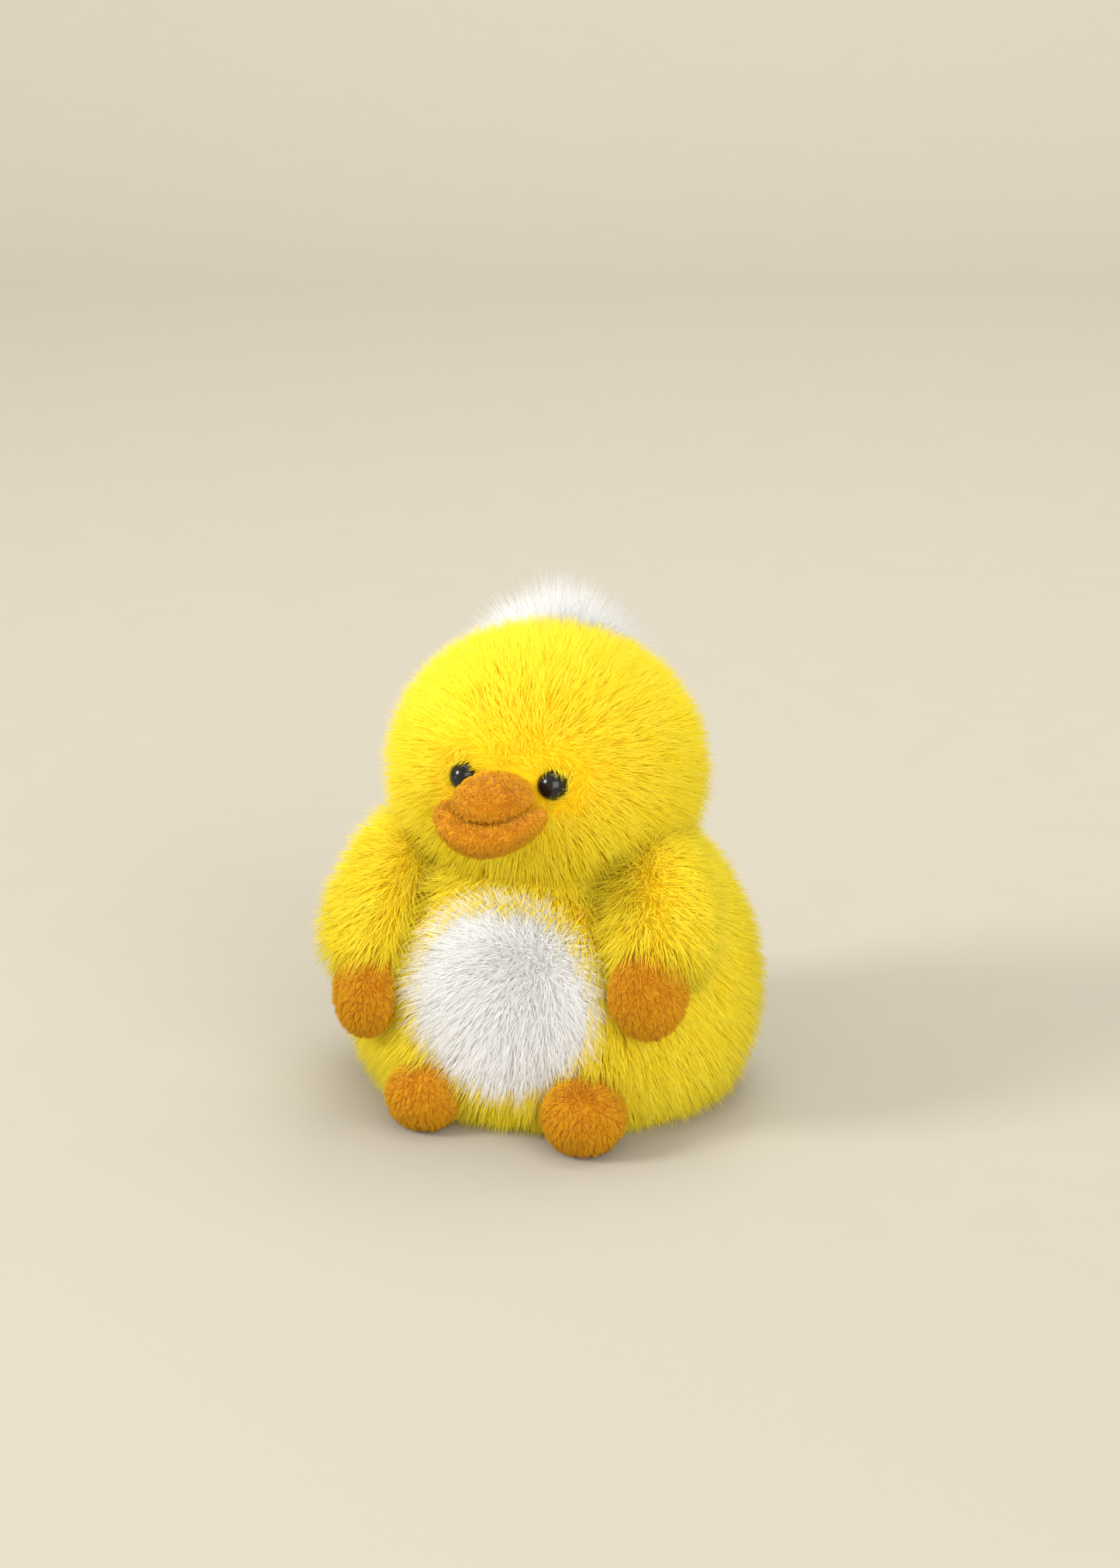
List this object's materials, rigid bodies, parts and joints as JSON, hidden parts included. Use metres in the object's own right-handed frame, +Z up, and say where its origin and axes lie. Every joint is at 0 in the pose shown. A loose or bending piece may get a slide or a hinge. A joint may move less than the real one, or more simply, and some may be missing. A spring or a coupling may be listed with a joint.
{
  "type": "plush keychain",
  "caption": "Seated long-pile plush duck with a short-pile bill, hands and feet, and a tape loop at its back that holds a split ring and a swivel clasp.",
  "frame": {"origin": "centre of the flat base panel that the duck sits on", "axes": "+Z up from the base, the duck faces -Y, and +X is the duck's own left"},
  "size_m": [0.0764, 0.0945, 0.1015],
  "materials": {
    "fur_yellow": "long-pile faux fur",
    "fur_white": "long-pile faux fur",
    "plush_orange": "short velvety pile",
    "lining": "plain woven panel",
    "filling": "polyester fibre filling",
    "pellets": "cloth pouch of plastic pellets",
    "eye_black": "glossy bead",
    "washer_white": "moulded lock washer",
    "tape": "woven tape",
    "ring_steel": "bright nickel plating",
    "clasp_metal": "bright nickel plating",
    "spring_steel": "spring wire"
  },
  "bodies": {
    "plush": {"torso_skin": "fur_yellow", "head_skin": "fur_yellow", "belly_patch": "fur_white", "crest": "fur_white", "bill_lip": "plush_orange", "bill_mound": "plush_orange", "base_panel": "lining", "torso_filling": "filling", "head_filling": "filling", "bill_lip_filling": "filling", "bill_mound_filling": "filling", "pellet_pouch": "pellets", "eye_left": "eye_black", "eye_right": "eye_black", "eye_washer_left": "washer_white", "eye_washer_right": "washer_white", "tape_tail": "tape"},
    "arm_left": {"sleeve_left": "fur_yellow", "hand_left": "plush_orange", "sleeve_filling_left": "filling", "hand_filling_left": "filling"},
    "foot_left": {"foot_left": "plush_orange", "foot_filling_left": "filling"},
    "arm_right": {"sleeve_right": "fur_yellow", "hand_right": "plush_orange", "sleeve_filling_right": "filling", "hand_filling_right": "filling"},
    "foot_right": {"foot_right": "plush_orange", "foot_filling_right": "filling"},
    "tape": {"tape_loop": "tape"},
    "ring": {"split_ring": "ring_steel"},
    "swivel": {"clasp_swivel": "clasp_metal"},
    "hook": {"clasp_hook": "clasp_metal", "gate_pin": "clasp_metal", "gate_spring": "spring_steel"},
    "gate": {"clasp_gate": "clasp_metal"}
  },
  "joints": [
    {"name": "arm_left_lift", "type": "hinge", "parent": "plush", "child": "arm_left", "pos_m": [0.0252, -0.009, 0.0582], "axis": [-0.2588, -0.9659, 0], "range_deg": [0, 30], "stiffness_Nm_per_rad": 0.02},
    {"name": "arm_right_lift", "type": "hinge", "parent": "plush", "child": "arm_right", "pos_m": [-0.0252, -0.009, 0.0582], "axis": [-0.2588, 0.9659, 0], "range_deg": [0, 30], "stiffness_Nm_per_rad": 0.02},
    {"name": "foot_left_flex", "type": "hinge", "parent": "plush", "child": "foot_left", "pos_m": [0.017, -0.0275, 0.0136], "axis": [-1, 0, 0], "range_deg": [0, 25], "stiffness_Nm_per_rad": 0.01},
    {"name": "foot_right_flex", "type": "hinge", "parent": "plush", "child": "foot_right", "pos_m": [-0.017, -0.0275, 0.0136], "axis": [-1, 0, 0], "range_deg": [0, 25], "stiffness_Nm_per_rad": 0.01},
    {"name": "tape_fold", "type": "hinge", "parent": "plush", "child": "tape", "pos_m": [0, 0.0214, 0.0795], "axis": [1, 0, 0], "range_deg": [0, 110]},
    {"name": "ring_swing", "type": "hinge", "parent": "tape", "child": "ring", "pos_m": [0, 0.02983, 0.07243], "axis": [1, 0, 0], "range_deg": [0, 45]},
    {"name": "clasp_swing", "type": "hinge", "parent": "ring", "child": "swivel", "pos_m": [0, 0.03837, 0.05129], "axis": [1, 0, 0], "range_deg": [0, 30]},
    {"name": "clasp_spin", "type": "hinge", "parent": "swivel", "child": "hook", "pos_m": [0, 0.0384, 0.05109], "axis": [0, 0.1736, -0.9848], "continuous": true},
    {"name": "gate_open", "type": "hinge", "parent": "hook", "child": "gate", "pos_m": [0.0046, 0.04042, 0.03967], "axis": [0, 0.9848, 0.1736], "range_deg": [0, 18], "stiffness_Nm_per_rad": 0.002, "springref_deg": -11.46}
  ]
}
